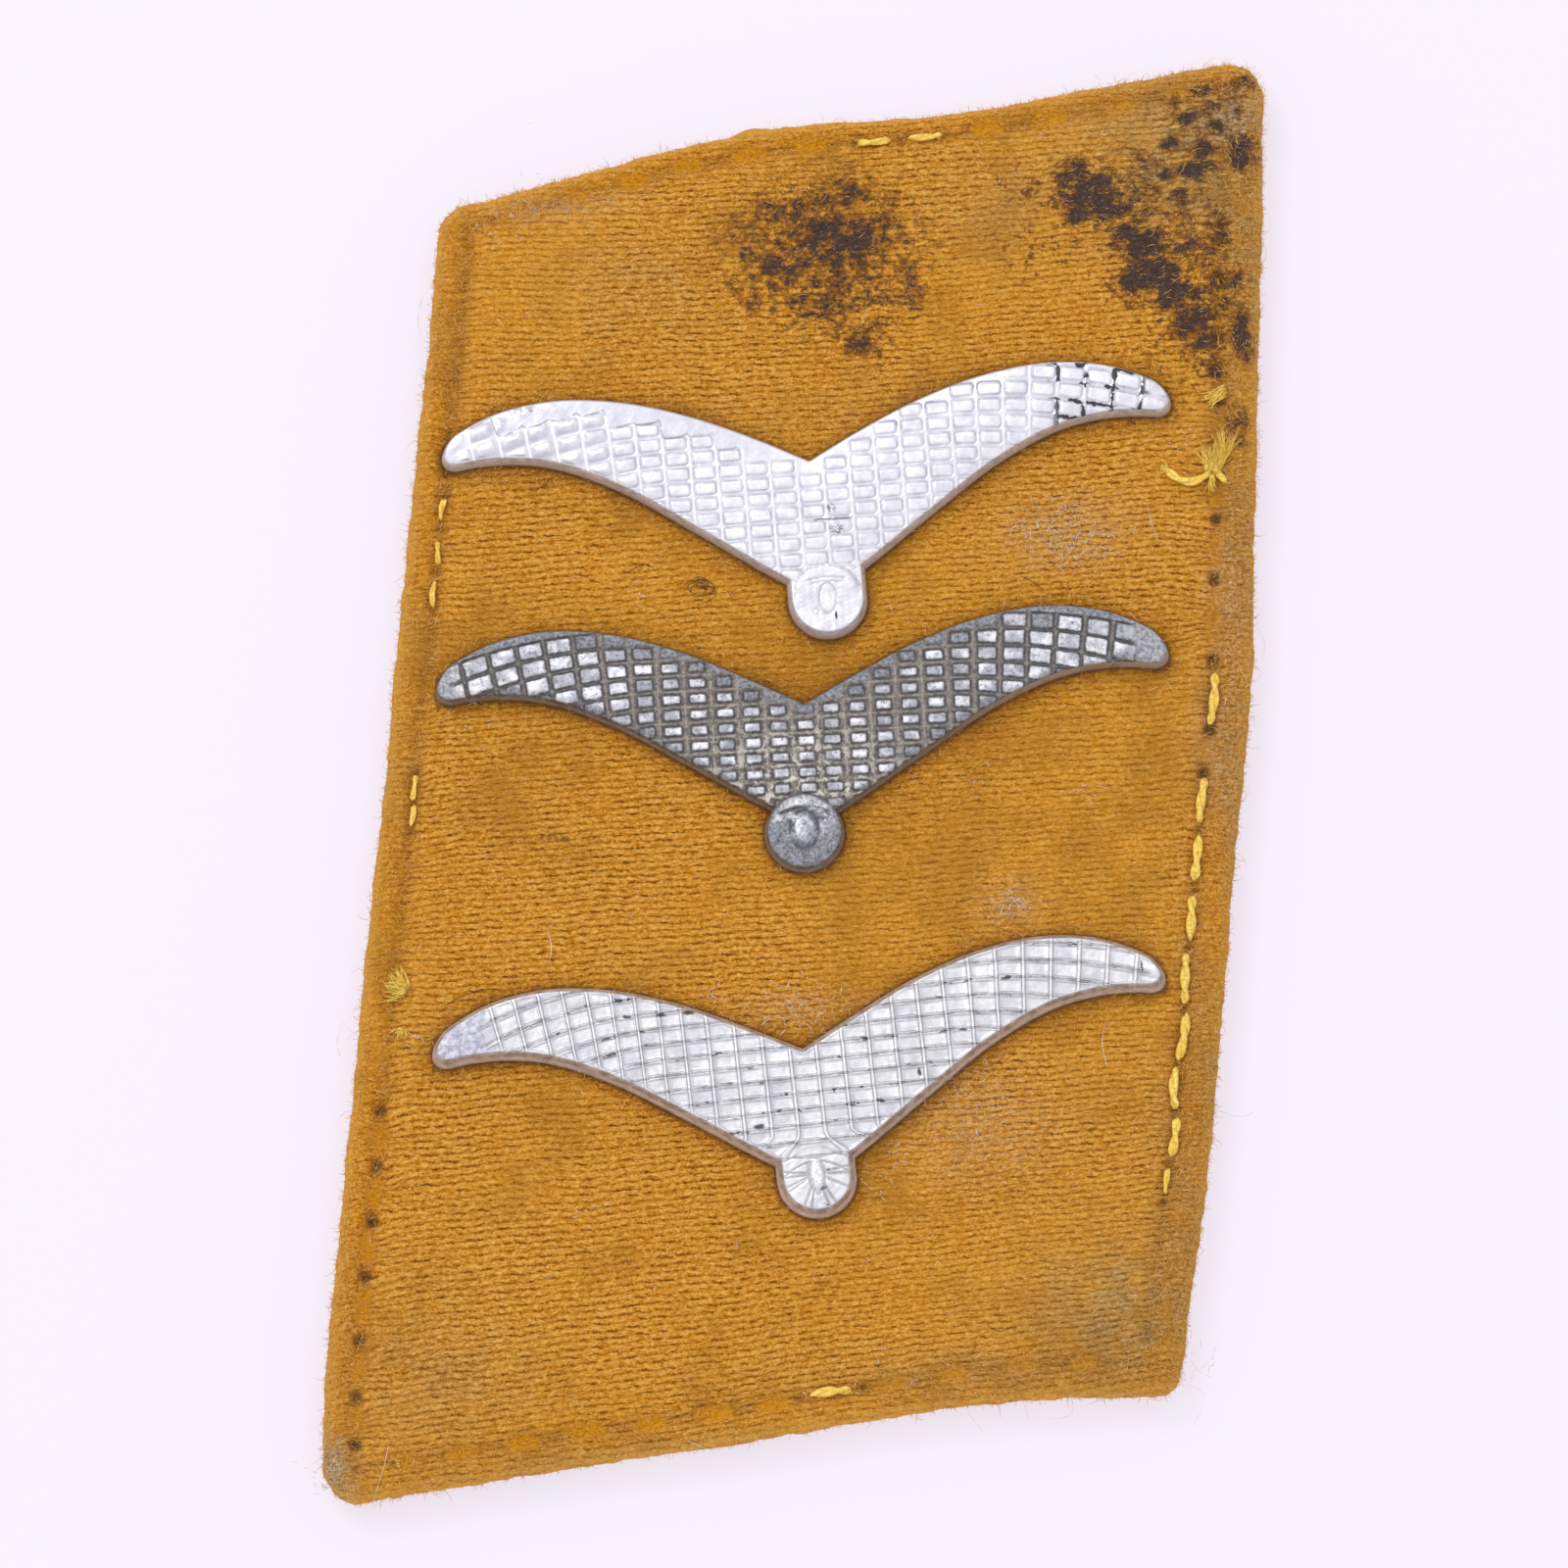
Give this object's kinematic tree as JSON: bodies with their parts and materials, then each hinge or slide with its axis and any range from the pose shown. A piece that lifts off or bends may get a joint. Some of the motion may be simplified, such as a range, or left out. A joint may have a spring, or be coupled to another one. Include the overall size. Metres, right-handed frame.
{
  "type": "collar tab",
  "caption": "Slanted golden-yellow wool collar tab with a stitched, folded rim and cast metal gulls with a grid relief across it.",
  "frame": {"origin": "centre of the tab's outline, on the surface that it lies on", "axes": "+X across the tab along the gulls, +Y up the tab to its stained top edge, +Z out of its face"},
  "size_m": [0.0444, 0.059, 0.0036],
  "materials": {
    "wool": "golden-yellow wool satin, soiled and stained",
    "bright_casting": "bright cast aluminium, satin",
    "dark_casting": "dark oxidised zinc casting, pads worn bright",
    "ribbed_casting": "bright cast aluminium, satin with dull tips"
  },
  "bodies": {
    "root": {"tab_cloth": "wool", "gull_upper": "bright_casting", "gull_middle": "dark_casting", "gull_lower": "ribbed_casting"}
  },
  "joints": []
}
